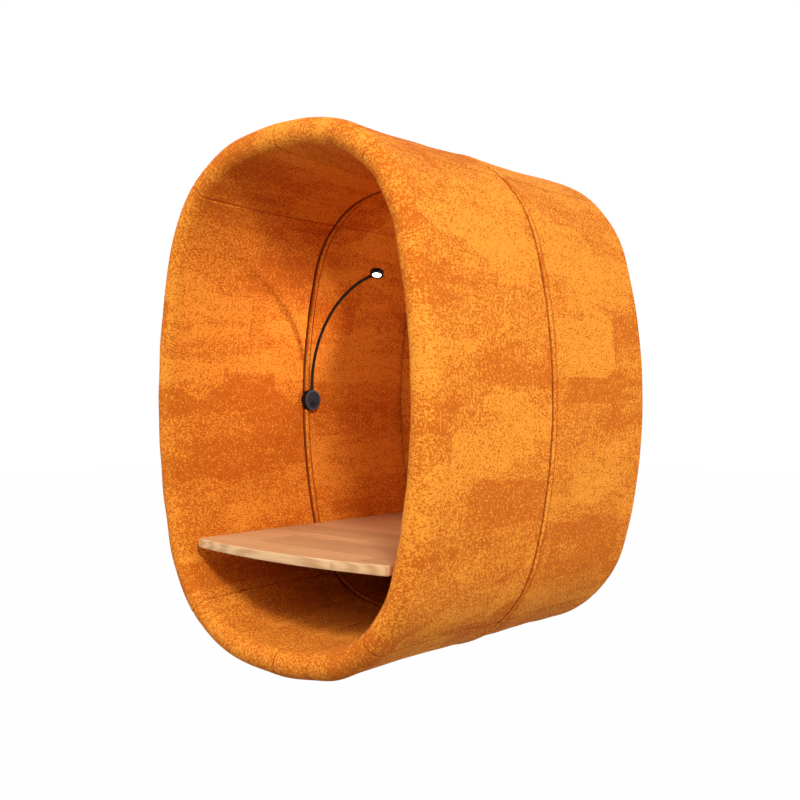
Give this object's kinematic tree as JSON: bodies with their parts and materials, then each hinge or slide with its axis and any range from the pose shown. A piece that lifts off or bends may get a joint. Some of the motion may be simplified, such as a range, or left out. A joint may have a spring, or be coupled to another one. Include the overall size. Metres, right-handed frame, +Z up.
{
  "type": "acoustic workstation",
  "caption": "Wall-hung acoustic work nook: a deep padded shell with a bowed oak desk board and a bendable lamp on its inner wall, hung on hooked rails.",
  "frame": {"origin": "on the wall, centred between the four outer wall fixings, at the shell's mid-height", "axes": "+Z up, +X to the right seen from the front, +Y into the wall"},
  "size_m": [0.874, 0.855, 1.1998],
  "materials": {
    "cover_fabric": "mottled two-tone wool weave over foam",
    "piping_fabric": "the cover's weave, sewn round a cord",
    "plywood": "raw birch plywood",
    "oak": "oiled oak staves, satin",
    "cleat_timber": "planed, unfinished",
    "zinc_steel": "zinc plated",
    "rail_metal": "mill finish extrusion",
    "grommet_rubber": "matt",
    "lamp_black": "satin black",
    "neck_black": "satin black sleeve",
    "head_black": "black anodised",
    "face_black": "fine matt texture",
    "switch_black": "smooth black",
    "opal": "opal diffuser",
    "led_white": "white solder mask"
  },
  "bodies": {
    "shell": {"front_cover": "cover_fabric", "back_cover": "cover_fabric", "back_lining": "cover_fabric", "back_pad": "cover_fabric", "outer_piping": "piping_fabric", "inner_piping": "piping_fabric", "front_hoop": "plywood", "back_hoop": "plywood", "front_flange": "plywood", "back_flange": "plywood", "back_panel": "plywood", "desk_board": "oak", "desk_cleat_left": "cleat_timber", "desk_cleat_right": "cleat_timber", "flange_bolts": "zinc_steel", "flange_nuts": "zinc_steel", "panel_screws": "zinc_steel", "rail_screws": "zinc_steel", "cleat_screws": "zinc_steel", "board_screws": "zinc_steel", "lamp_plate": "zinc_steel", "lamp_plate_screws": "zinc_steel", "upper_shell_rail": "rail_metal", "lower_shell_rail": "rail_metal", "upper_wall_rail": "rail_metal", "lower_wall_rail": "rail_metal", "cable_grommet": "grommet_rubber", "lamp_base": "lamp_black", "neck_ferrule": "lamp_black", "lamp_face": "face_black", "switch_body": "switch_black"},
    "rocker": {"lamp_rocker": "switch_black"},
    "neck_1": {"neck_link_1": "neck_black"},
    "neck_2": {"neck_link_2": "neck_black"},
    "neck_3": {"neck_link_3": "neck_black"},
    "neck_4": {"neck_link_4": "neck_black"},
    "neck_5": {"neck_link_5": "neck_black"},
    "neck_6": {"neck_link_6": "neck_black", "lamp_head": "head_black", "lamp_lens": "opal", "led_board": "led_white"}
  },
  "joints": [
    {"name": "neck_bend_1", "type": "hinge", "parent": "shell", "child": "neck_1", "pos_m": [-0.351, -0.409, 0.0345], "axis": [0, 1, 0], "range_deg": [-4, 14]},
    {"name": "neck_sway_1", "type": "hinge", "parent": "neck_1", "child": "neck_2", "pos_m": [-0.34394, -0.409, 0.09809], "axis": [-0.9757, 0, 0.2193], "range_deg": [-10, 10]},
    {"name": "neck_bend_2", "type": "hinge", "parent": "neck_2", "child": "neck_3", "pos_m": [-0.32311, -0.409, 0.15859], "axis": [0, 1, 0], "range_deg": [-4, 14]},
    {"name": "neck_sway_2", "type": "hinge", "parent": "neck_3", "child": "neck_4", "pos_m": [-0.28952, -0.409, 0.21304], "axis": [-0.788, 0, 0.6157], "range_deg": [-10, 10]},
    {"name": "neck_bend_3", "type": "hinge", "parent": "neck_4", "child": "neck_5", "pos_m": [-0.24481, -0.409, 0.25881], "axis": [0, 1, 0], "range_deg": [-4, 14]},
    {"name": "neck_sway_3", "type": "hinge", "parent": "neck_5", "child": "neck_6", "pos_m": [-0.19115, -0.409, 0.29365], "axis": [-0.4488, 0, 0.8936], "range_deg": [-10, 10]},
    {"name": "rocker_press", "type": "hinge", "parent": "shell", "child": "rocker", "pos_m": [-0.3508, -0.409, -0.013], "axis": [0, 0, -1], "range_deg": [0, 14]}
  ],
  "couplings": [
    {"joint": "neck_bend_2", "follows": "neck_bend_1", "ratio": 1},
    {"joint": "neck_sway_2", "follows": "neck_sway_1", "ratio": 1},
    {"joint": "neck_bend_3", "follows": "neck_bend_1", "ratio": 1},
    {"joint": "neck_sway_3", "follows": "neck_sway_1", "ratio": 1}
  ]
}
